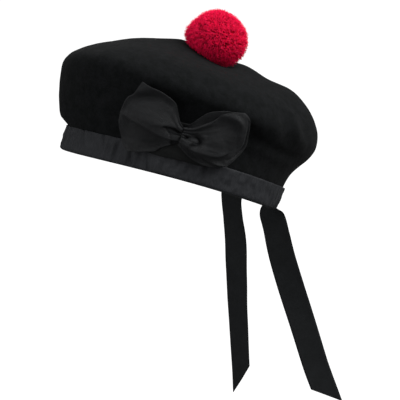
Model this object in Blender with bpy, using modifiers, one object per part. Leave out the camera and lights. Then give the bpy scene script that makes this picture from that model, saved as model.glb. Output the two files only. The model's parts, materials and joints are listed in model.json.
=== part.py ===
"""Balmoral bonnet: a black felt crown on a ribbon-bound rim, with a ribbon bow, a yarn toorie and two tails.

Metres, +Z up. The wearer faces -Y, so the wearer's left is +X and the tails hang at +Y. The origin is the
middle of the head opening, at the height of the felt's lower edge. The crown, band, bow and toorie are shaped
on a level rim and then tipped back together, as the bonnet is worn. The tails hang plumb from the tipped rim.
"""
import math

import bmesh
import bpy
import numpy as np
from mathutils import Matrix, Vector

# Cloth thicknesses, and the gap that neighbouring pieces keep
FELT = 0.002
RIBBON = 0.001
CLEARANCE = 0.0003

# The head opening, and how far the bonnet is tipped back
HEAD_WIDTH = 0.165
HEAD_LENGTH = 0.197
TIP_BACK = math.radians(20.3)

# The band, and the arch of the rim over each ear
BAND_HEIGHT = 0.0183
BAND_TURN_UP = 0.012
RIM_ARCH = 0.0022
RIM_ARCH_TURN = math.radians(70)

# The crown
CROWN_HEIGHT = 0.1145
CROWN_OVERHANG = 0.024
TOP_SHARE = 0.6
CREST_SHARE = 0.36
DISH_SHARE = 0.2
DISH_HEIGHT = 0.1065

# The bow
BOW_TURN = math.radians(56.5)
BOW_KNOT_HEIGHT = 0.0358
BOW_LEFT_REACH = 0.046
BOW_RIGHT_REACH = 0.0485
BOW_RIBBON_WIDTH = 0.054
BOW_PINCH = 0.011
BOW_PUFF = 0.013
BOW_PINCH_DEPTH = 0.004
BOW_RISE = 0.002
BOW_FOLD_DEPTH = 0.0045
BOW_RIGHT_LOWER = 0.56
BOW_ROUNDING = 0.2
BOW_FAN = 2.3
BOW_FAN_TILT = 0.5
BOW_BACK_HEIGHTS = (0.0155, 0.045)
BOW_BACK_REACH = (-0.030, 0.040)

# The toorie
TOORIE_WIDTH = 0.053
TOORIE_HEIGHT = 0.046
TOORIE_LOCK = 0.0025
TOORIE_FLAT = 0.78
LOCK_TAPER = 0.55
LOCK_FLOOR = -0.03
TOORIE_LEAN = math.radians(18)
TOORIE_LEAN_TURN = math.radians(115)

# The tails
TAIL_WIDTH = 0.0238
TAIL_LEFT_DROP = 0.189
TAIL_RIGHT_DROP = 0.197
TAIL_LEFT_CUT = 0.024
TAIL_RIGHT_CUT = 0.033
TAIL_SEWN = 0.009
TAIL_LEFT_TURN = math.radians(157)
TAIL_RIGHT_TURN = math.radians(199)

# How finely the round pieces are faceted
ROUND_STEPS = 48
SECTION_STEPS = 3
TAIL_STEPS = 34
TAIL_SEWN_STEPS = 2

# Sizes that follow
FELT_HALF_WIDTH = HEAD_WIDTH / 2 + RIBBON + CLEARANCE + FELT
FELT_HALF_LENGTH = HEAD_LENGTH / 2 + RIBBON + CLEARANCE + FELT
FELT_MEAN_RADIUS = (FELT_HALF_WIDTH + FELT_HALF_LENGTH) / 2
BAND_FACE = CLEARANCE + RIBBON
BAND_TURN_RADIUS = (FELT + 2 * CLEARANCE + RIBBON) / 2
TIP = Matrix.Rotation(-TIP_BACK, 3, "X")

# Crown sections, one row each 45 degrees from the front towards the wearer's left. Each out is a share of
# CROWN_OVERHANG beyond the rim, and each height a share of CROWN_HEIGHT.
SECTION_START = math.radians(12)
SECTION_COLUMNS = ("wall_out", "wall_height", "edge_out", "edge_height", "shoulder_out", "shoulder_height",
                   "brow_out", "brow_height", "top_height", "crest_height")
SECTIONS = (
    (0.38, 0.32, 0.69, 0.62, 0.42, 0.73, -0.46, 0.82, 0.885, 0.925),
    (-0.06, 0.34, 0.36, 0.585, 0.18, 0.68, -0.44, 0.78, 0.838, 0.872),
    (0.04, 0.30, 0.50, 0.52, 0.32, 0.63, -0.42, 0.75, 0.846, 0.881),
    (0.15, 0.27, 0.78, 0.50, 0.45, 0.71, -0.55, 0.88, 0.911, 0.950),
    (0.13, 0.26, 0.79, 0.48, 0.54, 0.63, -0.46, 0.79, 0.896, 0.971),
    (0.25, 0.28, 1.00, 0.46, 0.79, 0.61, -0.38, 0.79, 0.912, 0.976),
    (0.37, 0.35, 1.01, 0.50, 0.71, 0.65, -0.42, 0.81, 0.920, 1.016),
    (0.445, 0.24, 0.81, 0.58, 0.43, 0.705, -0.49, 0.83, 0.927, 0.971),
)

# Folds across the front of each wing of the bow. Across runs from the ribbon's lower edge, -1, to its upper
# edge, 1, and depth is a share of BOW_FOLD_DEPTH.
FRONT_FOLDS = (
    (-1.0, 0.0),
    (-0.5, 0.2),
    (-0.05, -0.5),
    (0.2, 1.0),
    (0.6, 0.8),
    (1.0, 0.2),
)
BACK_FOLDS = (
    (-1.0, -0.2),
    (-0.6, -0.3),
    (-0.45, 0.7),
    (0.3, 1.0),
    (0.55, 0.7),
    (0.7, -0.3),
    (1.0, 0.0),
)

# The hang of each tail below the band. Drop and sway are shares of its own drop, and twist is in degrees from
# flat against the band's inside.
LEFT_HANG = (
    (0.00, 0.000, 0),
    (0.02, 0.011, 26),
    (0.06, 0.028, 52),
    (0.11, 0.042, 62),
    (0.23, 0.070, 72),
    (0.39, 0.119, 82),
    (0.54, 0.169, 90),
    (0.69, 0.217, 93),
    (0.82, 0.259, 96),
    (0.93, 0.303, 97),
    (1.00, 0.333, 97),
)
RIGHT_HANG = (
    (0.00, 0.000, 0),
    (0.02, 0.001, -12),
    (0.06, 0.005, -18),
    (0.11, 0.012, -12),
    (0.23, 0.028, -6),
    (0.39, 0.034, -8),
    (0.54, 0.041, -11),
    (0.69, 0.051, -14),
    (0.82, 0.060, -16),
    (0.93, 0.068, -16),
    (1.00, 0.073, -16),
)
LEFT_SWAY_HEADING = math.radians(20)


def through(points, place, closed=False):
    """Read the smooth curve that passes through the points, at a place counted in points."""
    count = len(points)
    first = math.floor(place) if closed else min(math.floor(place), count - 2)
    share = place - first
    near = []
    for step in (-1, 0, 1, 2):
        index = (first + step) % count if closed else min(max(first + step, 0), count - 1)
        near.append(np.array(points[index], dtype=float))
    before, start, end, after = near
    cubic = 3 * (start - end) + after - before
    square = 2 * before - 5 * start + 4 * end - after
    return start + 0.5 * share * (end - before + share * (square + share * cubic))


def rim_lift(turn):
    """How far the rim stands above its mean plane, which arches over each ear."""
    return RIM_ARCH * math.cos(2 * (turn - RIM_ARCH_TURN))


def rim_point(turn, out, height):
    """A point beside the felt's lower wall, at a turn from the front towards the wearer's left."""
    x = (FELT_HALF_WIDTH + out) * math.sin(turn)
    y = -(FELT_HALF_LENGTH + out) * math.cos(turn)
    return Vector((x, y, height + rim_lift(turn)))


def section(turn):
    """The crown's outline at a turn, from the band's top edge to the dish's middle, as out and height."""
    row = through(SECTIONS, (turn - SECTION_START) / math.radians(45), closed=True)
    size = dict(zip(SECTION_COLUMNS, row))
    inward = -FELT_MEAN_RADIUS
    left_fall = FELT_HALF_WIDTH * math.sin(turn) * math.sin(TOORIE_LEAN_TURN)
    front_fall = FELT_HALF_LENGTH * math.cos(turn) * math.cos(TOORIE_LEAN_TURN)
    dish_fall = DISH_SHARE * math.tan(TOORIE_LEAN) * (left_fall + front_fall)
    return (
        (0, BAND_HEIGHT + CLEARANCE),
        (size["wall_out"] * CROWN_OVERHANG, size["wall_height"] * CROWN_HEIGHT),
        (size["edge_out"] * CROWN_OVERHANG, size["edge_height"] * CROWN_HEIGHT),
        (size["shoulder_out"] * CROWN_OVERHANG, size["shoulder_height"] * CROWN_HEIGHT),
        (size["brow_out"] * CROWN_OVERHANG, size["brow_height"] * CROWN_HEIGHT),
        (inward * (1 - TOP_SHARE), size["top_height"] * CROWN_HEIGHT),
        (inward * (1 - CREST_SHARE), size["crest_height"] * CROWN_HEIGHT),
        (inward * (1 - DISH_SHARE), DISH_HEIGHT - dish_fall),
        (inward, DISH_HEIGHT),
    )


def crown_point(turn, out, height):
    """A point of the crown, scaled towards the middle, rim's lift and all, so that the sections meet."""
    scale = 1 + out / FELT_MEAN_RADIUS
    lift = rim_lift(turn) * min(scale, 1) ** 2
    x = scale * FELT_HALF_WIDTH * math.sin(turn)
    y = -scale * FELT_HALF_LENGTH * math.cos(turn)
    return Vector((x, y, height + lift))


def crown_outline(turn):
    """The felt's outer face at a turn: a straight wall behind the band, then the smooth section above it."""
    outline = section(turn)
    bends = len(outline) - 2
    curve = [through(outline, place) for place in np.linspace(0, bends, bends * SECTION_STEPS + 1)]
    return [(0, 0), (0, BAND_HEIGHT / 2)] + curve + [outline[-1]]


def wall_out(turn, height):
    """How far the hat's side stands out at a height, band or felt, whichever is further out."""
    outline = section(turn)
    steps = [through(outline, place) for place in np.linspace(0, 3, 13)]
    heights = [step[1] for step in steps]
    outs = [step[0] for step in steps]
    return max(BAND_FACE, float(np.interp(height, heights, outs)))


def turn_along_rim(distance):
    """The turn that lies a distance round the rim from the bow's knot, towards the back."""
    turns = BOW_TURN + np.radians(np.arange(-90, 91))
    points = [rim_point(turn, 0, 0) for turn in turns]
    steps = [(after - before).length for before, after in zip(points, points[1:])]
    distances = np.concatenate(([0], np.cumsum(steps)))
    distances -= distances[90]
    return float(np.interp(distance, distances, turns))


def on_side(distance, height, off):
    """A point that stands off the hat's side, a distance round the rim from the knot."""
    turn = turn_along_rim(distance)
    return rim_point(turn, wall_out(turn, height) + off, height)


def finish_sheet(name, mesh_data, thickness, offset, material, collection):
    """Turn a surface into a node: thicken it to one side or both, and give it its material."""
    mesh = bpy.data.meshes.new(name)
    mesh_data.to_mesh(mesh)
    mesh_data.free()
    mesh.shade_smooth()
    mesh.materials.append(material)
    node = bpy.data.objects.new(name, mesh)
    collection.objects.link(node)
    wall = node.modifiers.new("Cloth thickness", "SOLIDIFY")
    wall.thickness = thickness
    wall.offset = offset
    wall.use_even_offset = True
    return node


def sheet(place, across, along):
    """Bend a grid into a sheet: place(u, v) says where each point goes, with u and v from 0 to 1."""
    grid = bmesh.new()
    bmesh.ops.create_grid(grid, x_segments=across, y_segments=along, size=0.5)
    for point in grid.verts:
        point.co = place(point.co.x + 0.5, point.co.y + 0.5)
    bmesh.ops.remove_doubles(grid, verts=grid.verts, dist=0.00001)
    return grid


def make_crown(material, collection):
    """The felted crown, thickened inwards."""
    outlines = [crown_outline(2 * math.pi * step / ROUND_STEPS) for step in range(ROUND_STEPS + 1)]
    rows = len(outlines[0]) - 1

    def place(around, upward):
        step = round(around * ROUND_STEPS)
        out, height = outlines[step][round(upward * rows)]
        return crown_point(2 * math.pi * step / ROUND_STEPS, out, height)

    surface = sheet(place, across=ROUND_STEPS, along=rows)
    return finish_sheet("crown", surface, FELT, -1, material, collection)


def make_headband(material, collection):
    """The ribbon that binds the rim: up the outside, round the felt's edge, and turned up inside."""
    outside = CLEARANCE + RIBBON / 2
    middle = outside - BAND_TURN_RADIUS
    bend_steps = 4
    profile = [(outside, BAND_HEIGHT), (outside, BAND_HEIGHT * 0.5)]
    for step in range(bend_steps + 1):
        angle = math.pi * step / bend_steps
        profile.append((middle + BAND_TURN_RADIUS * math.cos(angle), -BAND_TURN_RADIUS * math.sin(angle)))
    profile.append((middle - BAND_TURN_RADIUS, BAND_TURN_UP))

    def place(around, along):
        out, height = profile[round((1 - along) * (len(profile) - 1))]
        return rim_point(2 * math.pi * around, out, height)

    surface = sheet(place, across=ROUND_STEPS, along=len(profile) - 1)
    return finish_sheet("headband", surface, RIBBON, 0, material, collection)


def wing_surface(side, reach_length, folds, lower_share):
    """One folded wing of the bow: along the front from the knot, round the outer fold, and back behind."""
    across_folds, depths = zip(*folds)
    back = BAND_FACE + CLEARANCE + RIBBON
    spread = (BOW_RIBBON_WIDTH - BOW_PINCH) / 2

    def place(along, across):
        angle = math.pi * along
        reach = math.sin(angle)
        edge = 2 * across - 1
        shown = 1 if edge > 0 else lower_share
        fan = 1 - (1 - reach) ** (BOW_FAN + BOW_FAN_TILT * edge)
        half_width = BOW_PINCH / 2 + spread * fan * shown
        distance = side * (CLEARANCE + RIBBON / 2 + reach_length * reach * (1 - BOW_ROUNDING * edge ** 2))
        height = BOW_KNOT_HEIGHT + BOW_RISE * reach + edge * half_width
        open_depth = BOW_PINCH_DEPTH + (BOW_PUFF - BOW_PINCH_DEPTH) * reach ** 0.7
        front = (1 + math.cos(angle)) / 2
        fold = BOW_FOLD_DEPTH * float(np.interp(edge, across_folds, depths))
        off = back + open_depth * front + fold * front * math.sin(2 * min(angle, math.pi / 2))
        return on_side(distance, height, off)

    return place


def make_wing(name, side, reach_length, folds, lower_share, material, collection):
    """One wing of the bow as a node."""
    surface = sheet(wing_surface(side, reach_length, folds, lower_share), across=18, along=12)
    bmesh.ops.recalc_face_normals(surface, faces=surface.faces)
    return finish_sheet(name, surface, RIBBON, 0, material, collection)


def make_bow_back(material, collection):
    """The flat ribbon layer that lies against the hat behind both wings."""
    lower, upper = BOW_BACK_HEIGHTS
    left, right = BOW_BACK_REACH

    def place(along, across):
        height = lower + (upper - lower) * across
        return on_side(left + (right - left) * along, height, CLEARANCE + RIBBON / 2)

    surface = sheet(place, across=14, along=4)
    return finish_sheet("bow_back", surface, RIBBON, 0, material, collection)


def make_toorie(material, collection):
    """The pompom: a ball whose faces are drawn out into blunt locks, flattened where it sits on the crown."""
    ball = bmesh.new()
    bmesh.ops.create_icosphere(ball, subdivisions=3, radius=1)
    for point in ball.verts:
        if point.co.z < -TOORIE_FLAT:
            point.co.z = -TOORIE_FLAT
    lock = TOORIE_LOCK / (TOORIE_WIDTH / 2)
    drawn = bmesh.ops.extrude_discrete_faces(ball, faces=ball.faces)["faces"]
    for face in drawn:
        middle = face.calc_center_median()
        outward = middle.normalized() * lock
        for point in face.verts:
            point.co = middle + (point.co - middle) * LOCK_TAPER + outward
            point.co.z = max(point.co.z, LOCK_FLOOR - TOORIE_FLAT)
    mesh = bpy.data.meshes.new("toorie")
    ball.to_mesh(mesh)
    ball.free()
    half = Vector((TOORIE_WIDTH / 2, TOORIE_WIDTH / 2, TOORIE_HEIGHT / 2)) * (1 - lock / 2)
    mesh.transform(Matrix.Diagonal((*half, 1)))
    mesh.materials.append(material)
    node = bpy.data.objects.new("toorie", mesh)
    collection.objects.link(node)
    lean_axis = Vector((math.cos(TOORIE_LEAN_TURN), math.sin(TOORIE_LEAN_TURN), 0))
    node.rotation_mode = "AXIS_ANGLE"
    node.rotation_axis_angle = (TOORIE_LEAN, *lean_axis)
    foot = (TOORIE_FLAT - LOCK_FLOOR) * half.z + CLEARANCE
    lean = Matrix.Rotation(TOORIE_LEAN, 3, lean_axis)
    node.location = Vector((0, 0, DISH_HEIGHT)) + lean @ Vector((0, 0, foot))
    return node


def make_tail(name, turn, hang, heading, drop_length, cut, material, collection):
    """A ribbon sewn inside the back of the band, which drops plumb from the tipped rim.

    Its end is cut on a slant. A positive cut leaves the point on the edge towards the wearer's left.
    """
    bow_of_wall = TAIL_WIDTH ** 2 / (8 * FELT_HALF_WIDTH)
    inside = -(FELT + 3 * CLEARANCE + RIBBON * 1.5 + bow_of_wall)
    sewn = TIP @ rim_point(turn, inside, TAIL_SEWN)
    leaves = TIP @ rim_point(turn, inside, -(BAND_TURN_RADIUS + RIBBON + CLEARANCE))
    wall = TIP @ Vector((math.sin(turn) / FELT_HALF_WIDTH, -math.cos(turn) / FELT_HALF_LENGTH, 0))
    flat = Vector((wall.y, -wall.x, 0)).normalized()
    sway = Vector((math.sin(heading), math.cos(heading), 0))
    drops = [row[0] for row in hang]

    def place(across, down):
        edge = across - 0.5
        level = down * TAIL_STEPS - TAIL_SEWN_STEPS
        if level < 0:
            return leaves.lerp(sewn, -level / TAIL_SEWN_STEPS) + flat * (edge * TAIL_WIDTH)
        share = level / (TAIL_STEPS - TAIL_SEWN_STEPS)
        share *= 1 - (0.5 * abs(cut) - edge * cut) / drop_length
        row = float(np.interp(share, drops, range(len(hang))))
        drop, away, twist = through(hang, row)
        drop_ahead, away_ahead, _ = through(hang, row + 0.01)
        run = sway * (away_ahead - away) - Vector((0, 0, drop_ahead - drop))
        side = Matrix.Rotation(math.radians(twist), 3, "Z") @ flat
        side -= run * (side.dot(run) / run.dot(run))
        middle = leaves + sway * (away * drop_length) - Vector((0, 0, drop * drop_length))
        return middle + side.normalized() * (edge * TAIL_WIDTH)

    surface = sheet(place, across=4, along=TAIL_STEPS)
    return finish_sheet(name, surface, RIBBON, 0, material, collection)


def make_material(name, colour, roughness):
    """A plain cloth finish."""
    material = bpy.data.materials.new(name)
    material.use_nodes = True
    shader = material.node_tree.nodes["Principled BSDF"]
    shader.inputs["Base Color"].default_value = (*colour, 1)
    shader.inputs["Roughness"].default_value = roughness
    shader.inputs["Metallic"].default_value = 0
    return material


def main():
    for old in list(bpy.data.objects):
        bpy.data.objects.remove(old, do_unlink=True)
    parts = bpy.data.collections.new("Balmoral bonnet")
    bpy.context.scene.collection.children.link(parts)

    felt = (0.010, 0.011, 0.012)
    ribbon = (0.020, 0.021, 0.024)
    red = (0.350, 0.004, 0.020)
    level_pieces = [
        make_crown(make_material("crown felt", felt, 0.95), parts),
        make_headband(make_material("headband ribbon", ribbon, 0.6), parts),
        make_wing("bow_left_loop", -1, BOW_LEFT_REACH, FRONT_FOLDS, 1,
                  make_material("bow left ribbon", ribbon, 0.6), parts),
        make_wing("bow_right_loop", 1, BOW_RIGHT_REACH, BACK_FOLDS, BOW_RIGHT_LOWER,
                  make_material("bow right ribbon", ribbon, 0.6), parts),
        make_bow_back(make_material("bow back ribbon", ribbon, 0.6), parts),
        make_toorie(make_material("toorie yarn", red, 0.9), parts),
    ]
    tipped = bpy.data.objects.new("tipped_back", None)
    parts.objects.link(tipped)
    tipped.rotation_euler = (-TIP_BACK, 0, 0)
    for piece in level_pieces:
        piece.parent = tipped

    make_tail("tail_left", TAIL_LEFT_TURN, LEFT_HANG, LEFT_SWAY_HEADING, TAIL_LEFT_DROP, TAIL_LEFT_CUT,
              make_material("left tail ribbon", ribbon, 0.7), parts)
    make_tail("tail_right", TAIL_RIGHT_TURN, RIGHT_HANG, 0, TAIL_RIGHT_DROP, -TAIL_RIGHT_CUT,
              make_material("right tail ribbon", ribbon, 0.7), parts)


main()
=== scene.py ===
# %% [markdown]
# A balmoral bonnet
#
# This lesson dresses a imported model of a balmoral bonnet: a full crown of black wool felt, a ribbon
# binding round the rim, a ribbon bow on the wearer's left, a red yarn toorie on top, and two ribbon tails
# that hang from the back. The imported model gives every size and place. Each piece here is laid over its
# solid, and shows the cloth that the solid only stands for.

# %% Load the frame
import json
import math

import bmesh
import bpy
import numpy as np
from mathutils import Matrix, Vector, noise
from mathutils.bvhtree import BVHTree
from mathutils.kdtree import KDTree

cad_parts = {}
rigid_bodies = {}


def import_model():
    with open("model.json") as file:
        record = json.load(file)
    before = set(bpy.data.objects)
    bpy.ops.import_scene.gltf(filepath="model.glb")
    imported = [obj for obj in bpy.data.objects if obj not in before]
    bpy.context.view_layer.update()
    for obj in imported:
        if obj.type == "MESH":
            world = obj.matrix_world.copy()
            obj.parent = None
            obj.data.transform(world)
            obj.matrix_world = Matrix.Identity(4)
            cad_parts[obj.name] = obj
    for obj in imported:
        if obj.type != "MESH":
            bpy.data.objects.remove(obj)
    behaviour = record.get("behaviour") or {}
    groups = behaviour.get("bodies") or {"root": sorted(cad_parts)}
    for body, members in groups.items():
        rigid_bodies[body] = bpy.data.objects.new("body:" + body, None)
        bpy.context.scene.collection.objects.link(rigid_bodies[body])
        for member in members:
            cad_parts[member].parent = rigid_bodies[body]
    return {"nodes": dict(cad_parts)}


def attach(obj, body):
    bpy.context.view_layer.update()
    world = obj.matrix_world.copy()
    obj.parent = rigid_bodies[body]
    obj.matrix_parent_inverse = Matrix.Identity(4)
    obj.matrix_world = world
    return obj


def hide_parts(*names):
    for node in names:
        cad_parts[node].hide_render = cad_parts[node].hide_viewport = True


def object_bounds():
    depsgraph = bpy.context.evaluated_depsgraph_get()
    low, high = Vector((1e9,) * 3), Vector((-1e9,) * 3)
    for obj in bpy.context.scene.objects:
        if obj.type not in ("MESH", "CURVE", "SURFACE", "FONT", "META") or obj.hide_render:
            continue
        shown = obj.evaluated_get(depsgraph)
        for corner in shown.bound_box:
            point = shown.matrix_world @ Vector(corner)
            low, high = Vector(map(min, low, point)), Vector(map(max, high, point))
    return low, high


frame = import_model()
cad_low, cad_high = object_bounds()
print("packed nodes:", sorted(frame["nodes"]))


def mm(*lengths):
    """Lengths in millimetres, for printing."""
    return [round(float(length) * 1000, 1) for length in lengths]


print("packed box in mm:", mm(*(cad_high - cad_low)))

# %% [markdown]
# The camera
#
# The photograph looks at the wearer's left side, from a little in front and a little above. A pinhole
# camera is set by four facts: the two angles, the distance, and where the middle of the head opening falls
# in the picture. The lens then follows from the real size of one pixel at that distance.

# %% Set the camera
CAMERA_TURN = math.radians(54)
CAMERA_RISE = math.radians(14)
CAMERA_DISTANCE = 1.40
PICTURE_PIXELS = 400
PIXEL_SIZE = 0.0008626
RIM_MIDDLE_PIXEL = (171.5, 175.2)
UP = Vector((0, 0, 1))


def new_object(name, data):
    """An object in the scene."""
    made = bpy.data.objects.new(name, data)
    bpy.context.scene.collection.objects.link(made)
    return made


level_back = Vector((math.sin(CAMERA_TURN), -math.cos(CAMERA_TURN), 0))
camera_back = level_back * math.cos(CAMERA_RISE) + UP * math.sin(CAMERA_RISE)
camera_right = Vector((math.cos(CAMERA_TURN), math.sin(CAMERA_TURN), 0))
camera_up = camera_back.cross(camera_right)
slide_right = (PICTURE_PIXELS / 2 - RIM_MIDDLE_PIXEL[0]) * PIXEL_SIZE
slide_up = (RIM_MIDDLE_PIXEL[1] - PICTURE_PIXELS / 2) * PIXEL_SIZE

camera_data = bpy.data.cameras.new("camera")
camera_data.lens = camera_data.sensor_width * CAMERA_DISTANCE / (PICTURE_PIXELS * PIXEL_SIZE)
camera = new_object("camera", camera_data)
axes = Matrix((camera_right, camera_up, camera_back)).transposed()
place = camera_back * CAMERA_DISTANCE + camera_right * slide_right + camera_up * slide_up
camera.matrix_world = Matrix.Translation(place) @ axes.to_4x4()
bpy.context.scene.camera = camera
print("lens in mm:", round(camera_data.lens, 1))

# %% [markdown]
# The studio
#
# The bonnet hangs in white light, as a hat does in a catalogue. Black cloth only shows its folds where the
# light comes from some sides more than others. So the widest lamp stands above, one stands at the back on
# the wearer's left, and a weaker one in front. The floor looks white to the camera, but it sends only a
# little light back up under the crown.

# %% Build the floor, the lamps and the sky
FLOOR_DROP = 0.20
FLOOR_SIZE = 24
FLOOR_GREY = 0.10
SKY_LIGHT = 0.41
WHITE = (1, 1, 1, 1)
# each lamp's spot, width and power
LAMPS = {
    "overhead lamp": ((0.75, 0.55, 1.65), 1.5, 39),
    "front lamp": ((0.3, -2.0, 0.45), 1.2, 22),
    "back lamp": ((1.4, 1.5, 1.15), 1.2, 36),
}


def feed(tree, node, inputs):
    """Give a node its inputs, by name or number. A value is set, and a socket is linked."""
    for name, value in inputs.items():
        if isinstance(value, bpy.types.NodeSocket):
            tree.links.new(value, node.inputs[name])
        else:
            node.inputs[name].default_value = value


def add_node(tree, kind, inputs, **settings):
    """The outputs of a new node with these inputs and settings."""
    made = tree.nodes.new(kind)
    for name, value in settings.items():
        setattr(made, name, value)
    feed(tree, made, inputs)
    return made.outputs


def new_material(name):
    """A material, its tree, and its Principled shader."""
    material = bpy.data.materials.new(name)
    material.use_nodes = True
    return material, material.node_tree, material.node_tree.nodes["Principled BSDF"]


floor_paint, floor_tree, floor_shader = new_material("pale floor")
floor_rays = add_node(floor_tree, "ShaderNodeLightPath", {})
feed(floor_tree, floor_shader, {
    "Base Color": (FLOOR_GREY, FLOOR_GREY, FLOOR_GREY, 1), "Roughness": 0.9,
    "Emission Color": WHITE, "Emission Strength": floor_rays["Is Camera Ray"]})
floor_half = FLOOR_SIZE / 2
floor_corners = ((-1, -1), (1, -1), (1, 1), (-1, 1))
floor_mesh = bpy.data.meshes.new("floor")
floor_mesh.from_pydata([(x * floor_half, y * floor_half, cad_low.z - FLOOR_DROP) for x, y in floor_corners],
                       [], [(0, 1, 2, 3)])
floor_mesh.materials.append(floor_paint)
new_object("floor", floor_mesh)

for name, (spot, width, power) in LAMPS.items():
    lamp_data = bpy.data.lights.new(name, "AREA")
    lamp_data.size = width
    lamp_data.energy = power
    lamp = new_object(name, lamp_data)
    lamp.location = spot
    lamp.rotation_mode = "QUATERNION"
    lamp.rotation_quaternion = (-Vector(spot)).to_track_quat("-Z", "Y")

world = bpy.data.worlds.new("white room")
bpy.context.scene.world = world
world.use_nodes = True
sky_tree = world.node_tree
rays = add_node(sky_tree, "ShaderNodeLightPath", {})
strength = add_node(sky_tree, "ShaderNodeMapRange", {"Value": rays["Is Camera Ray"], "To Min": SKY_LIGHT})
feed(sky_tree, sky_tree.nodes["Background"], {"Color": WHITE, "Strength": strength["Result"]})
bpy.context.scene.view_settings.view_transform = "Standard"
print("lamps:", list(LAMPS))

# %% [markdown]
# The level frame
#
# The bonnet is worn tipped back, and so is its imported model. Round work is easier on a level rim, so pieces
# are shaped in a level frame and tipped at the end. The band tells how wide and how long the rim is.

# %% Read the rim from the band
TIP_BACK = math.radians(20.3)
TIP = Matrix.Rotation(-TIP_BACK, 3, "X")
LEVEL = TIP.inverted()
RAY_START = 0.3
BAND_EDGE_INSET = 0.0005


def level_points(node_name):
    """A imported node's points in the level frame."""
    return [LEVEL @ vertex.co for vertex in frame["nodes"][node_name].data.vertices]


def level_surface(*node_names):
    """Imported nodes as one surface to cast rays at, in the level frame."""
    points = []
    faces = []
    for node_name in node_names:
        first = len(points)
        points += level_points(node_name)
        packed_faces = frame["nodes"][node_name].data.polygons
        faces += [[first + index for index in face.vertices] for face in packed_faces]
    return BVHTree.FromPolygons(points, faces)


band_surface = level_surface("headband")
rim_sides = np.ptp(np.array(level_points("headband")), axis=0)
RIM_HALF_WIDTH = float(rim_sides[0] / 2)
RIM_HALF_LENGTH = float(rim_sides[1] / 2)
RIM_MEAN = (RIM_HALF_WIDTH + RIM_HALF_LENGTH) / 2
print("rim half width and length in mm:", mm(RIM_HALF_WIDTH, RIM_HALF_LENGTH))


def rim_spot(turn, share=1.0, height=0.0):
    """A point at a turn from the front towards the wearer's left. Share 1 is on the band's face."""
    across = RIM_HALF_WIDTH * share * math.sin(turn)
    return Vector((across, -RIM_HALF_LENGTH * share * math.cos(turn), height))


def heading(turn):
    """The level direction from the rim's middle to its point at a turn."""
    return rim_spot(turn).normalized()


def band_top(turn):
    """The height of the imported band's top edge at a turn."""
    above = heading(turn) * (rim_spot(turn).length - BAND_EDGE_INSET) + UP * RAY_START
    return band_surface.ray_cast(above, -UP)[0].z


# %% [markdown]
# On the wearer's left, towards the back, the soft edge curls in a little. The felt and its binding share the
# curl, so it is one function of the turn and the height above the rim.

# %% Curl the edge in
CURL_TURN = math.radians(137)
CURL_SPAN = math.radians(14)
CURL_HEIGHT = 0.013
CURL_DEPTH = 0.0055


def edge_curl(turn, height):
    """How far the edge is drawn in at a turn and a height."""
    apart = (turn - CURL_TURN + math.pi) % math.tau - math.pi
    low = min(1, max(0, 1 - height / CURL_HEIGHT))
    return CURL_DEPTH * low ** 2 * math.exp(-(apart / CURL_SPAN) ** 2)


print("deepest curl in mm:", mm(edge_curl(CURL_TURN, 0)))

# %% [markdown]
# Small helpers
#
# Most pieces are sheets: a net of points, bent by a rule, with a UV map in metres so that a weave keeps
# its real scale. One helper turns the net into a mesh. One makes the mesh a piece: it tips it back, gives it
# its cloth thickness and hides the imported node that it stands for.

# %% Helpers that build sheets
MERGE = 1e-6


def grid_mesh(name, points, uvs=None, wrap=False):
    """A mesh from points[row][column]. With wrap, the last column joins the first."""
    rows, columns = points.shape[:2]
    mesh = bpy.data.meshes.new(name)
    build = bmesh.new()
    verts = [[build.verts.new(point) for point in row] for row in points]
    layer = build.loops.layers.uv.new("cloth")
    for row in range(rows - 1):
        for column in range(columns if wrap else columns - 1):
            beside = (column + 1) % columns
            corners = ((row, column), (row, beside), (row + 1, beside), (row + 1, column))
            face = build.faces.new([verts[r][c] for r, c in corners])
            if uvs is None:
                continue
            for loop, (r, c) in zip(face.loops, corners):
                ahead = columns if wrap and beside == 0 and c == 0 else c
                loop[layer].uv = uvs[r][ahead]
    bmesh.ops.remove_doubles(build, verts=build.verts, dist=MERGE)
    build.to_mesh(mesh)
    build.free()
    mesh.shade_smooth()
    return mesh


def add_piece(mesh, material, node_name, tipped=True, thickness=0, offset=0, even=True):
    """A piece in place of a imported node. A sharply creased wall isn't evened out, which would spike."""
    if tipped:
        mesh.transform(TIP.to_4x4())
    if material:
        mesh.materials.append(material)
    piece = new_object(mesh.name, mesh)
    if thickness:
        wall = piece.modifiers.new("cloth thickness", "SOLIDIFY")
        wall.thickness = thickness
        wall.offset = offset
        wall.use_even_offset = even
    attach(piece, "root")
    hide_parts(node_name)
    return piece


def blur(values, spread, axis, closed):
    """Even out a table of points along one axis, so that the facets of the solid don't show."""
    reach = int(math.ceil(spread * 3))
    steps = np.arange(-reach, reach + 1)
    weights = np.exp(-0.5 * (steps / spread) ** 2)
    weights /= weights.sum()
    pad = [(0, 0)] * values.ndim
    pad[axis] = (reach, reach)
    how = {"mode": "wrap"} if closed else {"mode": "reflect", "reflect_type": "odd"}
    wide = np.pad(values, pad, **how)
    length = values.shape[axis]
    return sum(weight * np.take(wide, np.arange(step, step + length), axis=axis)
               for step, weight in enumerate(weights))


def smooth_path(stations, count):
    """Points on a smooth curve through the stations, evenly spaced in their numbering."""
    stations = np.array(stations, float)
    last = len(stations) - 1
    places = np.linspace(0, last, count)
    first = np.minimum(places.astype(int), last - 1)
    share = (places - first)[:, None]
    before, start, end, after = (stations[np.clip(first + step, 0, last)] for step in (-1, 0, 1, 2))
    cubic = 3 * (start - end) + after - before
    square = 2 * before - 5 * start + 4 * end - after
    return start + 0.5 * share * (end - before + share * (square + share * cubic))


def widest(net, axis):
    """The longest way over a net, down its columns for axis 0 or along its rows for axis 1."""
    return np.linalg.norm(np.diff(net, axis=axis), axis=2).sum(axis=axis).max()


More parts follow.
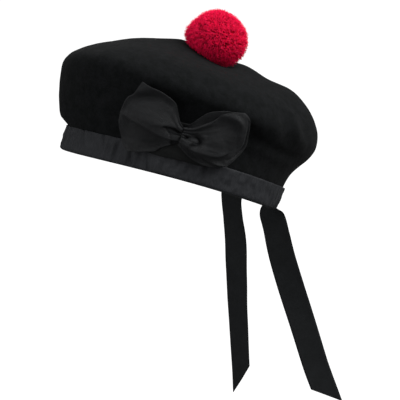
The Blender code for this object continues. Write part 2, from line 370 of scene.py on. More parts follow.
def cloth_uvs(across, along, indexing):
    """A net's UV map, where u runs across the ribbon and v along it."""
    return np.stack(np.meshgrid(across, along, indexing=indexing), axis=2)


def lengths_along(points):
    """How far each point of a line lies along it, or each row of a net on average."""
    steps = np.linalg.norm(np.diff(points, axis=0), axis=-1)
    if steps.ndim > 1:
        steps = steps.mean(axis=1)
    return np.concatenate(([0], np.cumsum(steps)))


def at_lengths(wanted, gone, points):
    """The places at the wanted lengths along a line of points."""
    return np.stack([np.interp(wanted, gone, column) for column in points.T], axis=-1)


def uneven(spot, softness, octaves):
    """A rough value at a spot, from noises that are each half the size of the last."""
    return noise.fractal(spot, softness, 2.0, octaves)


# %% [markdown]
# The felt crown
#
# A balmoral's crown is knitted wide, then fulled until the wool locks into felt and no stitch shows. It has
# no straight edge and no seam, so it is made as a net of points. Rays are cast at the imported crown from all
# round towards a core inside it, and the hits are spread evenly and blurred, which takes the solid's facets
# away. The slow folds that a photograph shows are then pressed in along their lines.

# %% Cast the crown's net
CROWN_CORE = Vector((0, 0, 0.060))
CROWN_COLUMNS = 240
CROWN_ROWS = 112
CROWN_RAYS = 180
CROWN_START = 0.004
CROWN_BLUR_ROUND = 2.4
CROWN_BLUR_UP = 1.6

crown_surface = level_surface("crown")


def crown_line(turn):
    """The crown's outer face at a turn, from inside the band to the middle of the top, evenly spaced."""
    lowest = math.atan2(CROWN_START - CROWN_CORE.z, rim_spot(turn).length)
    ways = [heading(turn) * math.cos(rise) + UP * math.sin(rise)
            for rise in np.linspace(lowest, math.pi / 2, CROWN_RAYS)]
    hits = [crown_surface.ray_cast(CROWN_CORE + way * RAY_START, -way)[0] for way in ways]
    hits = np.array([hit for hit in hits if hit is not None])
    gone = lengths_along(hits)
    return at_lengths(np.linspace(0, gone[-1], CROWN_ROWS + 1), gone, hits)


crown_turns = np.linspace(0, math.tau, CROWN_COLUMNS, endpoint=False)
crown_net = np.stack([crown_line(turn) for turn in crown_turns], axis=1)
crown_net = blur(crown_net, CROWN_BLUR_ROUND, axis=1, closed=True)
crown_net = blur(crown_net, CROWN_BLUR_UP, axis=0, closed=False)
crown_net[-1] = crown_net[-1].mean(axis=0)
print("crown net:", crown_net.shape)

# %% [markdown]
# Each fold is a line on the crown and a rule for how far the felt moves off it. A ridge lifts the felt in a
# soft roll; a groove sinks it. The places are a turn from the front, a share of the way out from the middle
# to the rim, and a height, so each can be read off the photograph with a ray from its camera.

# %% Press the folds into the crown
# each fold's depth and width, and its places: turn in degrees, share out, height in millimetres
CROWN_FOLDS = (
    # the roll where the top turns down over the bow
    (0.0028, 0.009, (
        (17, 1.16, 76), (27, 1.145, 73), (41, 1.115, 71), (55, 1.09, 68), (65, 1.085, 67), (74, 1.095, 66),
        (88, 1.1, 62), (100, 1.115, 60), (110, 1.135, 60))),
    # the hollow under that roll
    (-0.001, 0.006, (
        (41, 1.1, 65), (50, 1.08, 62), (58, 1.07, 60), (65, 1.065, 59), (73, 1.065, 58), (82, 1.07, 53),
        (94, 1.08, 51))),
    # the crease down the back bulge
    (0.0022, 0.006, (
        (114, 0.99, 84), (113, 1.05, 79), (112.5, 1.11, 72), (114, 1.145, 64), (118.5, 1.15, 58),
        (126, 1.148, 54))),
    (-0.0018, 0.007, ((105, 1.00, 81), (104, 1.06, 75), (104, 1.10, 68), (107, 1.13, 60), (112, 1.13, 55))),
    (-0.0012, 0.009, ((124, 1.03, 82), (122, 1.10, 75), (123, 1.15, 66), (127, 1.17, 60))),
    # the wrinkles under the back bulge
    (-0.0012, 0.004, ((84, 1.02, 46), (93, 1.045, 48), (103, 1.055, 46), (116, 1.065, 44), (130, 1.11, 46))),
    (0.0010, 0.004, ((88, 1.03, 38), (100, 1.04, 38), (114, 1.05, 36), (126, 1.07, 37))),
    # slack folds on the sides that the photograph doesn't show
    (-0.0020, 0.012, ((205, 1.04, 80), (212, 1.10, 72), (216, 1.16, 62), (214, 1.14, 50))),
    (0.0018, 0.012, ((228, 1.02, 84), (234, 1.10, 76), (238, 1.16, 64), (238, 1.14, 52))),
    (-0.0022, 0.014, ((296, 0.90, 92), (302, 1.02, 86), (306, 1.12, 76), (306, 1.16, 62))),
    (0.0016, 0.012, ((322, 0.92, 92), (328, 1.04, 84), (331, 1.12, 72))),
)
PATH_STEPS = 60
FOLD_END_TAPER = 0.6
FOLD_WIDTHS = 3
MILLIMETRE = 0.001
SLACK_SIZE = 0.038
SLACK_DEPTH = 0.0009
SLACK_FADE = 0.012
FELT_THICKNESS = 0.002
FELT_INSET = 0.0020
FELT_FLARE = 1.5


def press_fold(net, normals, depth, width, line):
    """Move the net along its normals by depth at the fold's line, less and less away from it."""
    spots = [rim_spot(math.radians(turn), out, height / 1000) for turn, out, height in line]
    path = smooth_path(spots, PATH_STEPS)
    ends = np.sin(np.linspace(0, math.pi, len(path))) ** FOLD_END_TAPER
    tree = KDTree(len(path))
    for index, point in enumerate(path):
        tree.insert(point, index)
    tree.balance()
    for place in np.ndindex(net.shape[:2]):
        _, index, distance = tree.find(net[place])
        if distance < FOLD_WIDTHS * width:
            net[place] += normals[place] * (depth * ends[index] * math.exp(-(distance / width) ** 2))


around = np.roll(crown_net, -1, axis=1) - np.roll(crown_net, 1, axis=1)
crown_normals = np.cross(around, np.gradient(crown_net, axis=0))
crown_normals /= np.maximum(np.linalg.norm(crown_normals, axis=2, keepdims=True), 1e-9)
for depth, width, line in CROWN_FOLDS:
    press_fold(crown_net, crown_normals, depth, width, line)

for column, turn in enumerate(crown_turns):
    band_height = band_top(turn)
    behind_band = rim_spot(turn).length - FELT_INSET
    for row in range(crown_net.shape[0]):
        spot = Vector(crown_net[row, column])
        free = min(1, max(0, (spot.z - band_height) / SLACK_FADE))
        spot += Vector(crown_normals[row, column]) * (uneven(spot / SLACK_SIZE, 1.0, 3) * SLACK_DEPTH * free)
        most = behind_band - edge_curl(turn, spot.z) + max(0, spot.z - band_height) * FELT_FLARE
        shrink = min(1, most / max(spot.xy.length, most))
        crown_net[row, column] = (spot.x * shrink, spot.y * shrink, spot.z)
crown_net[-1] = crown_net[-1].mean(axis=0)
print("crown folds pressed:", len(CROWN_FOLDS))

# %% [markdown]
# Felt as a material
#
# Fulled wool is matte black with a nap: fine fibres that lie in all directions and catch a little light at
# grazing angles. The colour is two near-blacks mixed by a cloudy noise, the bump is a fine fibre noise over
# a coarser one, and a low sheen stands for the nap. The noises are a node group with one scale for them all.

# %% Make the nap group and the felt
FELT_SHADES = ((0.0024, 0.0029, 0.0029), (0.0056, 0.0060, 0.0066))
FELT_SPAN = (0.35, 0.65)
NAP_DEPTH = 0.0004


def add_noise(tree, vector, scale, detail, roughness):
    """A noise texture at so many waves a metre."""
    return add_node(tree, "ShaderNodeTexNoise", {
        "Vector": vector, "Scale": scale, "Detail": detail, "Roughness": roughness})["Fac"]


def add_math(tree, operation, first, second=0):
    """A math node on two sockets or numbers."""
    return add_node(tree, "ShaderNodeMath", {0: first, 1: second}, operation=operation)["Value"]


def add_ramp(tree, factor, shades, span):
    """A colour that runs from the low shade to the high one over a span of the factor."""
    made = tree.nodes.new("ShaderNodeValToRGB")
    feed(tree, made, {"Fac": factor})
    for element, place, colour in zip(made.color_ramp.elements, span, shades):
        element.position = place
        element.color = (*colour, 1)
    return made.outputs["Color"]


def new_group(name, kind, inputs, outputs):
    """A node group, the sockets of its named inputs, and the node that its outputs go to."""
    group = bpy.data.node_groups.new(name, kind)
    for way, sockets in (("INPUT", inputs), ("OUTPUT", outputs)):
        for socket_name, socket_kind in sockets.items():
            group.interface.new_socket(socket_name, in_out=way, socket_type="NodeSocket" + socket_kind)
    return group, add_node(group, "NodeGroupInput", {}), group.nodes.new("NodeGroupOutput")


def show_cloth(tree, shader, mottle, shades, span, height, depth):
    """Feed a cloth's two mottled shades and its relief to the shader."""
    bump = add_node(tree, "ShaderNodeBump", {"Distance": depth, "Height": height})
    feed(tree, shader, {"Base Color": add_ramp(tree, mottle, shades, span), "Normal": bump["Normal"]})


nap_group, nap_in, nap_end = new_group(
    "wool nap", "ShaderNodeTree", {"Vector": "Vector", "Fibre scale": "Float"},
    {"Height": "Float", "Clouds": "Float"})
fibres = add_node(nap_group, "ShaderNodeVectorMath", {0: nap_in["Vector"], "Scale": nap_in["Fibre scale"]},
                  operation="SCALE")["Vector"]
fine_fibres = add_noise(nap_group, fibres, scale=1, detail=4, roughness=0.75)
coarse_fibres = add_noise(nap_group, fibres, scale=0.22, detail=2, roughness=0.5)
feed(nap_group, nap_end, {
    "Height": add_math(nap_group, "ADD", fine_fibres, coarse_fibres),
    "Clouds": add_noise(nap_group, fibres, scale=0.16, detail=5, roughness=0.75)})

felt, felt_tree, felt_shader = new_material("black felt")
felt_place = add_node(felt_tree, "ShaderNodeTexCoord", {})["Object"]
nap = add_node(felt_tree, "ShaderNodeGroup", {"Vector": felt_place, "Fibre scale": 900}, node_tree=nap_group)
show_cloth(felt_tree, felt_shader, nap["Clouds"], FELT_SHADES, FELT_SPAN, nap["Height"], NAP_DEPTH)
feed(felt_tree, felt_shader, {
    "Roughness": 0.95, "Specular IOR Level": 0.05, "Sheen Weight": 0.012, "Sheen Roughness": 0.5})

crown = add_piece(grid_mesh("crown_felt", crown_net, wrap=True), felt, "crown",
                  thickness=FELT_THICKNESS, offset=-1)
print("crown faces:", len(crown.data.polygons))

# %% [markdown]
# Ribbon as a material
#
# The binding, the bow and the tails are cut from black ribbon. It is woven with a fine rib across its
# width, so it has a softer, brighter sheen than felt. The weave follows the cloth, so it reads the UV map,
# which is in metres: u runs across the ribbon and v along it. Past a few metres away a weave is too fine to
# see, and what is left is a faint streak and mottle, so the group puts out both.

# %% Make the weave group and the ribbons
RIB_WOBBLE = 0.8
WARP_SHARE = 0.35
STREAK_STRETCH = (240, 1100, 1)
WEAVE = {"Ribs": 1000, "Warp": 2400}
RIB_DEPTH = 0.00006
RIBBON_SPAN = (0.36, 0.64)

weave_group, weave_in, weave_end = new_group(
    "ribbon weave", "ShaderNodeTree", {"Vector": "Vector", "Ribs": "Float", "Warp": "Float"},
    {"Height": "Float", "Streaks": "Float"})
cloth = weave_in["Vector"]
cloth_axes = add_node(weave_group, "ShaderNodeSeparateXYZ", {"Vector": cloth})
stretched = add_node(weave_group, "ShaderNodeVectorMath", {0: cloth, 1: STREAK_STRETCH}, operation="MULTIPLY")
wobble = add_noise(weave_group, cloth, scale=160, detail=2, roughness=0.5)
streaks = add_noise(weave_group, stretched["Vector"], scale=1, detail=3, roughness=0.6)
mottle = add_noise(weave_group, cloth, scale=90, detail=3, roughness=0.6)


def weave_math(operation, first, second=0):
    """A math node of the weave."""
    return add_math(weave_group, operation, first, second)


ribs = weave_math("MULTIPLY", cloth_axes["Y"], weave_in["Ribs"])
ribs = weave_math("ADD", ribs, weave_math("MULTIPLY", wobble, RIB_WOBBLE))
warp = weave_math("MULTIPLY", cloth_axes["X"], weave_in["Warp"])
rib_wave, warp_wave = (weave_math("SINE", weave_math("MULTIPLY", waves, math.tau)) for waves in (ribs, warp))
feed(weave_group, weave_end, {
    "Height": weave_math("ADD", rib_wave, weave_math("MULTIPLY", warp_wave, WARP_SHARE)),
    "Streaks": weave_math("MULTIPLY", weave_math("ADD", streaks, mottle), 0.5)})


def make_ribbon(name, shades, roughness, sheen):
    """Black ribbon, from its two shades and its finish."""
    ribbon, tree, shader = new_material(name)
    cloth_map = add_node(tree, "ShaderNodeUVMap", {}, uv_map="cloth")["UV"]
    weave = add_node(tree, "ShaderNodeGroup", {"Vector": cloth_map, **WEAVE}, node_tree=weave_group)
    show_cloth(tree, shader, weave["Streaks"], shades, RIBBON_SPAN, weave["Height"], RIB_DEPTH)
    feed(tree, shader, {
        "Roughness": roughness, "Specular IOR Level": 0.15, "Sheen Weight": sheen, "Sheen Roughness": 0.35})
    return ribbon


band_ribbon = make_ribbon("band ribbon", ((0.0100, 0.0108, 0.0126), (0.0174, 0.0185, 0.0212)), 0.62, 0.02)
print("weave nodes:", len(weave_group.nodes))

# %% [markdown]
# The binding round the rim
#
# One ribbon is folded over the felt's raw edge and sewn through, outside and in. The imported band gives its
# fold: rays from inside, above and below find its faces at each turn. The ribbon is eased round a curve, so
# it has small puckers, more at the front where it is tightest, and its edges aren't ruled lines.

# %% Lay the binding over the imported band
BAND_COLUMNS = 960
BAND_LEG_STEPS = 14
BAND_BEND_STEPS = 8
BAND_BLUR = 10
BAND_THICKNESS = 0.0007
BAND_LOOK_HEIGHT = 0.005
# each pucker's turn in degrees, depth, width in degrees, and share at the top and at the bottom
BAND_PUCKERS = (
    (-18, -0.0018, 0.8, 1, 0), (-10.5, -0.0024, 0.8, 1, -0.3), (-7.6, 0.001, 1, 1, 0.2),
    (4.7, -0.0024, 0.8, 1, -0.3), (7.4, 0.001, 1, 1, 0.3), (19.3, -0.002, 0.8, 1, -0.2),
    (21.6, 0.0008, 1, 0.9, 0.4), (35.7, -0.0016, 0.8, -0.2, 1), (43.8, -0.0019, 0.8, -0.2, 1),
    (86, -0.0003, 3, 0.8, 0.4), (104.4, 0.0004, 3.5, 0.5, 0.8), (117, -0.0004, 2.5, 0.6, 0.8),
    (152, -0.0006, 1.6, 1, 0.3), (176, -0.0007, 1.2, 1, 0.6), (203, -0.0006, 1.8, 0.9, 0.4),
    (238, -0.0004, 2.6, 0.9, 0.3), (284, -0.0005, 2, 0.8, 0.5), (318, -0.0006, 1.4, 1, 0.2),
    (334, -0.0005, 1.6, 0.8, 0.5),
)
PUCKER_LEAN = 3.0
PUCKER_WIDTHS = 4
DEEPEST_PUCKER = -0.0018
RIPPLE_COUNT = 46
RIPPLE_DEPTH = 0.00064
RIPPLE_SPAN = 0.45
EDGE_WANDER = 0.00030
EDGE_WAVES = 9
CRUMPLE_SIZE = 0.007
CRUMPLE_DEPTH = 0.00065
CRUMPLE_RISE = 0.15


def band_faces(turn):
    """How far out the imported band's faces lie at a turn, and its top, lip and lowest heights."""
    ahead = heading(turn)
    outer = rim_spot(turn).length
    inner = band_surface.ray_cast(UP * BAND_LOOK_HEIGHT, ahead)[3]
    lip = band_surface.ray_cast(ahead * (inner + BAND_EDGE_INSET) + UP * RAY_START, -UP)[0].z
    lowest = band_surface.ray_cast(ahead * (inner + outer) / 2 - UP * RAY_START, UP)[0].z
    return outer, inner, band_top(turn), lip, lowest


band_turns = np.linspace(0, math.tau, BAND_COLUMNS, endpoint=False)
band_sizes = blur(np.array([band_faces(turn) for turn in band_turns]), BAND_BLUR, axis=0, closed=True)

draw = np.random.default_rng(11)
ripple_waves = draw.integers(24, 90, RIPPLE_COUNT)
ripple_starts = draw.uniform(0, math.tau, RIPPLE_COUNT)
ripple_tips = draw.uniform(0, 1, RIPPLE_COUNT)


def band_move(turn, rise):
    """How far the ribbon's face stands out at a turn and a share of its height, from its puckers."""
    move = 0
    for middle, depth, width, at_top, at_bottom in BAND_PUCKERS:
        apart = (math.degrees(turn) - middle + PUCKER_LEAN * (rise - 0.5) + 180) % 360 - 180
        if abs(apart) < PUCKER_WIDTHS * width:
            fade = at_bottom + (at_top - at_bottom) * rise
            move += depth * fade * math.exp(-(apart / width) ** 2)
    near = np.exp(-(np.abs(rise - ripple_tips) / RIPPLE_SPAN) ** 2)
    waves = np.sin(ripple_waves * turn + ripple_starts) * near
    move += RIPPLE_DEPTH * float(waves.sum()) / math.sqrt(RIPPLE_COUNT)
    spot = rim_spot(turn, height=rise * RIM_MEAN * CRUMPLE_RISE) / CRUMPLE_SIZE
    return max(DEEPEST_PUCKER, move + CRUMPLE_DEPTH * uneven(spot, 0.7, 4))


def band_column(turn, sizes):
    """The ribbon's section at a turn: down the outside, round the edge, and up to its inner lip."""
    outer, inner, top, lip, lowest = sizes
    ahead = heading(turn)
    half = BAND_THICKNESS / 2
    radius = (outer - inner) / 2 - half
    fold_height = lowest + radius + half
    top += EDGE_WANDER * noise.noise(Vector((math.cos(turn), math.sin(turn), 0)) * EDGE_WAVES)
    spots = []
    for rise in np.linspace(1, 0, BAND_LEG_STEPS, endpoint=False):
        spots.append((outer - half + band_move(turn, rise), fold_height + (top - fold_height) * rise))
    for bend in np.linspace(0, math.pi, BAND_BEND_STEPS, endpoint=False):
        spread = radius + band_move(turn, 0) * (math.cos(bend / 2) ** 2)
        spots.append(((outer + inner) / 2 + spread * math.cos(bend), fold_height - radius * math.sin(bend)))
    for rise in np.linspace(0, 1, BAND_LEG_STEPS // 2):
        spots.append((inner + half, fold_height + (lip - fold_height) * rise))
    return [ahead * (out - edge_curl(turn, height - lowest)) + UP * height for out, height in spots]


band_net = np.stack([band_column(turn, sizes) for turn, sizes in zip(band_turns, band_sizes)], axis=1)[::-1]
band_across = lengths_along(band_net)
band_run = np.linspace(0, math.tau * RIM_MEAN, BAND_COLUMNS + 1)
band_mesh = grid_mesh("band_ribbon", band_net, cloth_uvs(band_across, band_run, "ij"), wrap=True)
band = add_piece(band_mesh, band_ribbon, "headband", thickness=BAND_THICKNESS)
print("band ribbon in mm:", mm(band_across[-1], band_run[-1]))

# %% [markdown]
# The bow
#
# The cockade is a bow of wide ribbon pinched in the middle, with no wrap over the pinch. Its places are
# counted on the hat's side: along, the distance round the rim from the pinch towards the back; up, the
# height above the band's top edge; and off, how far a point stands off the felt or band behind it. A table of
# rays gives the hat's side, so the bow can be shaped as if on a flat wall.

# %% Make the table of the hat's side
BOW_TURN = math.radians(56.5)
WALK_DEGREES = 70
SIDE_REACH = 70
SIDE_LOWEST = -20
SIDE_HIGHEST = 64
SIDE_BLUR_ALONG = 2.0
SIDE_BLUR_UP = 1.2
TABLE_EDGE = 0.001

side_surface = level_surface("crown", "headband")
walk_turns = BOW_TURN + np.radians(np.arange(-WALK_DEGREES, WALK_DEGREES + 1))
walk_gone = lengths_along(np.array([rim_spot(turn) for turn in walk_turns]))
walk_gone -= walk_gone[WALK_DEGREES]


def side_foot(along, up):
    """The way out at a place on the hat's side, and the point at its height in the middle of the hat."""
    turn = float(np.interp(along * MILLIMETRE, walk_gone, walk_turns))
    edge = np.interp(turn % math.tau, band_turns, band_sizes[:, 2], period=math.tau)
    return heading(turn), UP * (float(edge) + up * MILLIMETRE)


def side_reach(along, up):
    """How far out the hat's side lies at a place."""
    ahead, foot = side_foot(along, up)
    hit = side_surface.ray_cast(ahead * RAY_START + foot, -ahead)[0]
    return Vector((hit.x, hit.y, 0)).length


side_table = np.array([[side_reach(along, up) for up in range(SIDE_LOWEST, SIDE_HIGHEST)]
                       for along in range(-SIDE_REACH, SIDE_REACH + 1)])
side_table = blur(side_table, SIDE_BLUR_ALONG, axis=0, closed=False)
side_table = blur(side_table, SIDE_BLUR_UP, axis=1, closed=False)


def side_spot(along, up, off):
    """The point at a place on the hat's side, all in millimetres."""
    column = min(max(along + SIDE_REACH, 0), 2 * SIDE_REACH - TABLE_EDGE)
    row = min(max(up - SIDE_LOWEST, 0), side_table.shape[1] - 1 - TABLE_EDGE)
    left, low = int(column), int(row)
    across, rise = column - left, row - low
    lower, upper = side_table[left, low:low + 2] * (1 - across) + side_table[left + 1, low:low + 2] * across
    ahead, foot = side_foot(along, up)
    return ahead * (lower * (1 - rise) + upper * rise + off * MILLIMETRE) + foot


print("hat's side table:", side_table.shape)

# %% [markdown]
# Each wing is one ribbon that goes out from the pinch in front, turns at the outer fold, and comes back
# behind. Four edges bound each leaf: its root at the pinch, its fold, and its lower and upper edges, and the
# leaf is the smooth patch between them. Pleats run out from the pinch. Each lifts the cloth on its upper side
# and slides the lip down, so that one part hangs over the next. Creases only lift or sink it along a line.

# %% Lay out the bow's leaves, pleats and creases
# places are along and up, in millimetres
LEFT_FRONT = {
    "lower": ((0, 9.2), (-4.2, 5.8), (-12.2, 0.9), (-16, -3.2), (-24, -6), (-34.8, -9.4)),
    "upper": ((0, 21.2), (-3.2, 24.5), (-6.2, 31.2), (-9.8, 38.1), (-19.7, 43.3), (-28.2, 45.3),
              (-34.4, 47.7)),
    "fold": ((-34.8, -9.4), (-39.9, -3.5), (-44.4, 5.6), (-46, 14.1), (-45.1, 23.6), (-42.4, 32.7),
             (-38.6, 37.4), (-34.4, 47.7)),
}
LEFT_BACK = {
    "lower": ((0, 10), (-12, 4), (-24, -3), (-34.8, -9.4)),
    "upper": ((0, 20), (-12, 33), (-24, 42), (-34.4, 47.7)),
    "fold": LEFT_FRONT["fold"],
}
RIGHT_FRONT = {
    "lower": ((0.5, 9.2), (8, 5.5), (16, 2.5), (26, 0.5), (34, -0.8), (41.6, 0.4)),
    "upper": ((0.5, 21.1), (6.5, 22.3), (11.1, 25.2), (15.2, 28.5), (20.9, 33.8), (24.5, 39.5), (33.4, 44),
              (39.8, 45.7)),
    "fold": ((41.6, 0.4), (45.9, 6), (50.4, 13.4), (52.3, 20.1), (50.1, 29.1), (47.8, 36.4), (45.9, 41),
             (43.6, 43.6), (39.8, 45.7)),
}
RIGHT_BACK = {
    "lower": ((0, 6), (12, -1), (26, -4), (41.6, 0.4)),
    "upper": ((0, 23.2), (5.6, 26), (15.1, 37.4), (26.1, 42.5), (33.3, 44), (39.8, 45.7)),
    "fold": RIGHT_FRONT["fold"],
}
# each pleat's lift, slide, softness, the reach of its lift, the share of it that fades out, and its line
LEFT_PLEATS = (
    (3.8, 2.2, 0.7, 40, 0.15, (
        (0, 11), (-9.6, 10.2), (-17.2, 11.4), (-24, 13.5), (-33.5, 16.3), (-44, 19))),
    (3.2, 1.4, 0.6, 8, 0.45, (
        (1.3, 16.5), (-1.5, 18.2), (-5.8, 19.6), (-10.9, 19.2), (-13.9, 17.8), (-14.8, 15.4))),
)
RIGHT_PLEATS = (
    (3.6, 1.8, 0.8, 45, 0.30, (
        (0.5, 10), (6.7, 8), (14.4, 5.8), (23.9, 5.6), (29.9, 6.4), (35.8, 9.1), (40, 12))),
)
# each crease's depth, width and line
LEFT_CREASES = (
    # the gap above the small pleat
    (-3.0, 1.2, ((-8, 18.6), (-2, 17.0), (1, 15.0))),
    # the valley below the tip, and the edge beyond it
    (-4.2, 3.8, ((-42, 25), (-38, 31.5), (-33, 35.5), (-27.7, 37.4), (-20.8, 38), (-13.4, 36))),
    (1.0, 2.2, ((-30, 46), (-24, 44.5), (-18, 43), (-11, 39))),
    # the rounded rim of the outer fold, and the line inside it
    (1.8, 1.3, ((-36, 46), (-40.5, 37.5), (-43.5, 31), (-45.5, 22), (-45.5, 12))),
    (-1.0, 2.2, ((-38, 30), (-40, 22), (-39, 14))),
    # the full lobe over the main pleat
    (3.4, 9.0, ((-38, 23), (-28, 21), (-18, 19), (-8, 17))),
    # the lower leaf's edge, which sinks towards the band
    (-5.0, 9.0, ((-4, 4), (-12, 0), (-22, -5), (-31, -7))),
)
RIGHT_CREASES = (
    # the hook beside the pinch, and the hole in it
    (-5.2, 2.0, ((5.1, 14.0), (9, 16), (12.9, 16.1), (15.4, 14.4), (15.6, 11.8), (13.6, 9.2), (10.5, 8.4))),
    (-3.0, 1.2, ((3.4, 13.0), (5.1, 13.9), (7, 13.2))),
    # the ridge under the upper edge
    (1.8, 1.8, ((1, 20.6), (6.5, 21.6), (11.1, 24.2), (15.2, 27.3), (18.5, 30.2), (20.5, 33))),
    # the line inside the outer fold, and the roll at its upper corner
    (-1.5, 1.1, ((40, 5.5), (44.5, 9.5), (48.3, 16), (49.4, 22), (48, 30), (46, 37), (44.3, 40.6))),
    (2.6, 3.0, ((26, 38.5), (33, 39), (38, 37), (41, 33), (42.5, 28))),
    # the soft roll across the wing, and the lower edge, which sinks towards the band
    (3.8, 10.0, ((18, 16), (30, 19), (44, 24))),
    (-2.8, 4.0, ((2, 6), (12, 2), (26, 0), (36, 1))),
)
print("pleats and creases:", len(LEFT_PLEATS + RIGHT_PLEATS), len(LEFT_CREASES + RIGHT_CREASES))

# %% Rules for the bow's leaves, pleats and creases
BOW_FRONT_ROWS = 110
BOW_BACK_ROWS = 40
BOW_COLUMNS = 110
BOW_LEAST_OFF = 1.6
WING_BACK_OFF = 4.4
LINE_STEPS = 50
LEAF_BLEND = 0.35
PUFF_RISE = 0.7
PLEAT_STEEPNESS = 3
CREASE_ENDS = (0.12, 0.88)
GATHER_COUNT = 6
GATHER_DEPTH = 0.5
GATHER_REACH = 0.2
CRINKLE_DEPTH = 0.30
CRINKLES_OUT = 1.6
CRINKLES_ACROSS = 5


def on_edge(stations, share):
    """A place at a share of the way along an edge, measured by length."""
    path = smooth_path(stations, PATH_STEPS)
    gone = lengths_along(path)
    return at_lengths(share * gone[-1], gone, path)


def leaf_patch(leaf, out, across):
    """The smooth patch between a leaf's four edges, for arrays of out and across."""
    root = np.array([leaf["lower"][0], leaf["upper"][0]], float)
    lower, upper, fold = (on_edge(leaf[name], share)
                          for name, share in (("lower", out), ("upper", out), ("fold", across)))
    o = out[..., None]
    a = across[..., None]
    start = root[0] * (1 - a) + root[1] * a
    corners = ((1 - o) * (1 - a) * root[0] + (1 - o) * a * root[1]
               + o * (1 - a) * np.array(leaf["fold"][0]) + o * a * np.array(leaf["fold"][-1]))
    return (1 - o) * start + o * fold + (1 - a) * lower + a * upper - corners


def soft_step(values):
    """A smooth step from 0 to 1."""
    values = np.clip(values, 0, 1)
    return values * values * (3 - 2 * values)


def line_distance(places, line):
    """For each place: how far above a line, how far from it, the nearest share of it, and its way up."""
    path = smooth_path(line, LINE_STEPS)
    gaps = places[..., None, :] - path
    apart = np.linalg.norm(gaps, axis=-1)
    nearest = apart.argmin(axis=-1)
    ahead = np.gradient(path, axis=0)
    ahead /= np.linalg.norm(ahead, axis=1, keepdims=True)
    outward = np.sign(path[-1, 0] - path[0, 0])
    above = np.stack((-ahead[:, 1], ahead[:, 0]), axis=1) * outward
    gap = np.take_along_axis(gaps, nearest[..., None, None], axis=-2)[..., 0, :]
    signed = (gap * above[nearest]).sum(axis=-1)
    return signed, apart.min(axis=-1), nearest / (len(path) - 1), above[nearest]


def shape_wing(front, back, pleats, creases, puff, seed):
    """A wing's places: along, up and off for each row from the pinch round the fold and back."""
    turn_out = np.linspace(0, math.pi / 2, BOW_FRONT_ROWS)
    turn_back = np.linspace(math.pi / 2, math.pi, BOW_BACK_ROWS)[1:]
    angle = np.concatenate((turn_out, turn_back))[:, None] * np.ones(BOW_COLUMNS)
    across = np.linspace(0, 1, BOW_COLUMNS) * np.ones((len(angle), 1))
    out = np.sin(angle)
    facing = (1 + np.cos(angle)) / 2
    blend = soft_step((np.cos(angle) + LEAF_BLEND) / (2 * LEAF_BLEND))
    places = leaf_patch(front, out, across) * blend[..., None]
    places += leaf_patch(back, out, across) * (1 - blend[..., None])
    pinch, open_off = puff
    off = WING_BACK_OFF + (pinch + (open_off - pinch) * out ** PUFF_RISE) * facing
    moved = places.copy()
    for lift, slide, softness, carry, fade, line in pleats:
        signed, _, share, above = line_distance(places, line)
        reach = soft_step((1 - share) / fade) * blend
        step = 1 / (1 + np.exp(-PLEAT_STEEPNESS * signed / softness))
        off += lift * (step * np.exp(-np.maximum(signed, 0) / carry) - 0.5) * reach
        lip = slide * np.exp(-(signed / softness - 1.0) ** 2) * reach
        moved -= above * lip[..., None]
    for depth, width, line in creases:
        _, apart, share, _ = line_distance(places, line)
        off += depth * np.exp(-(apart / width) ** 2) * np.sin(math.pi * np.clip(share, *CREASE_ENDS)) * blend
    gather = np.sin(math.tau * GATHER_COUNT * across + seed) * np.exp(-out / GATHER_REACH)
    off += GATHER_DEPTH * gather * facing
    for place in np.ndindex(off.shape):
        spot = Vector((out[place] * CRINKLES_OUT, across[place] * CRINKLES_ACROSS, seed + facing[place]))
        off[place] += CRINKLE_DEPTH * uneven(spot, 0.8, 4)
    return np.dstack((moved, np.maximum(off, BOW_LEAST_OFF)))


# %% Make the bow's wings
BOW_THICKNESS = 0.0006
LEFT_PUFF = (4.2, 9.4)
RIGHT_PUFF = (4.2, 9.0)


def side_net(places):
    """The points at a net of places on the hat's side."""
    return np.array([[side_spot(*place) for place in row] for row in places])


def make_wing(name, node_name, slot_name, *shape):
    """One wing of the bow as a piece."""
    net = side_net(shape_wing(*shape))
    along = lengths_along(net)
    width = widest(net, 1)
    uvs = cloth_uvs(np.linspace(0, width, BOW_COLUMNS), along, "xy")
    wing = add_piece(grid_mesh(name, net, uvs), bow_ribbon, node_name,
                     thickness=BOW_THICKNESS, even=False)


bow_ribbon = make_ribbon("bow ribbon", ((0.0060, 0.0064, 0.0070), (0.0100, 0.0106, 0.0116)), 0.62, 0.02)
make_wing("bow_left_wing", "bow_left_loop", "bow left ribbon", LEFT_FRONT, LEFT_BACK, LEFT_PLEATS,
          LEFT_CREASES, LEFT_PUFF, 2.0)
make_wing("bow_right_wing", "bow_right_loop", "bow right ribbon", RIGHT_FRONT, RIGHT_BACK, RIGHT_PLEATS,
          RIGHT_CREASES, RIGHT_PUFF, 5.0)

# %% [markdown]
# A flat layer of rougher ribbon with less sheen lies behind both wings. Its two shades are darker than the
# bow's: painted shade for the shadow under the pinch, where its lower edge crosses the band's top.

# %% Lay the bow's back layer
BACK_ROWS = 40
BACK_COLUMNS = 70
BACK_OFF = 0.9
BACK_LEAF = {
    "lower": ((-29, -4.5), (-19.6, -5.6), (-11.4, -5.9), (-3.3, -5.6), (4.9, -5.3), (22, -5.2), (33, -3),
              (43, -0.2)),
    "upper": ((-29, 22), (-10, 24), (10, 25), (25, 24), (43, 22)),
    "fold": ((43, -0.2), (43.5, 12), (43, 22)),
}
BACK_TILT = 3.2
BACK_TILT_SPAN = (-6, 3)
BACK_WAVE = 0.25
BACK_WAVE_ALONG = 9
BACK_WAVE_UP = 14
